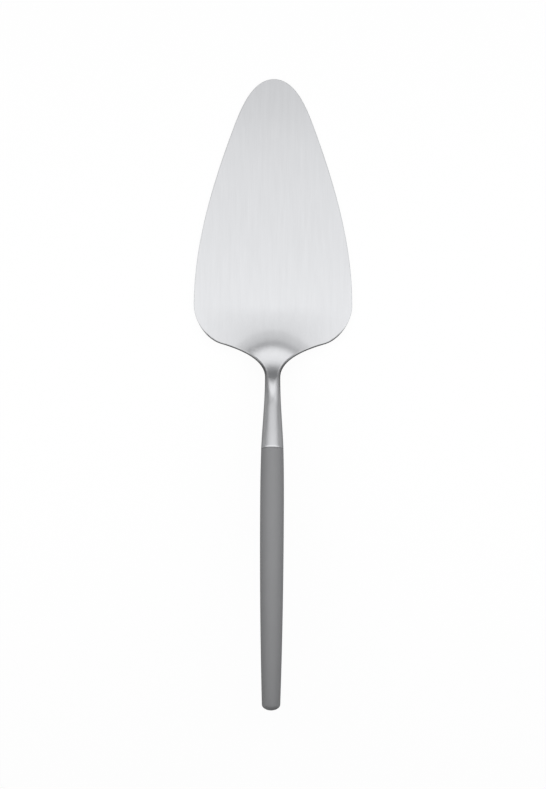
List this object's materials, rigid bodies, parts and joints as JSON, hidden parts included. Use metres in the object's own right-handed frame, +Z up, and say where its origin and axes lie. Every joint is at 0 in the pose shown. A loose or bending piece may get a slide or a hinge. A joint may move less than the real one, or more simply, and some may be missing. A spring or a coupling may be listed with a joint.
{
  "type": "cake server",
  "caption": "Cake server with a broad leaf-shaped brushed steel blade, a cranked round neck and a slim grey resin handle.",
  "frame": {"origin": "below the middle of the overall length, on the plane that the blade's flat underside rests on", "axes": "+X across the blade, +Y along the server towards the blade's tip, +Z up"},
  "size_m": [0.0654, 0.26, 0.0331],
  "materials": {
    "brushed_blade": "satin, brushed lengthwise",
    "tang_steel": "turned",
    "grey_resin": "satin",
    "cured_glue": "cured"
  },
  "bodies": {
    "root": {"blade_and_neck": "brushed_blade", "tang_rod": "tang_steel", "handle_grip": "grey_resin", "glue_fill": "cured_glue"}
  },
  "joints": []
}
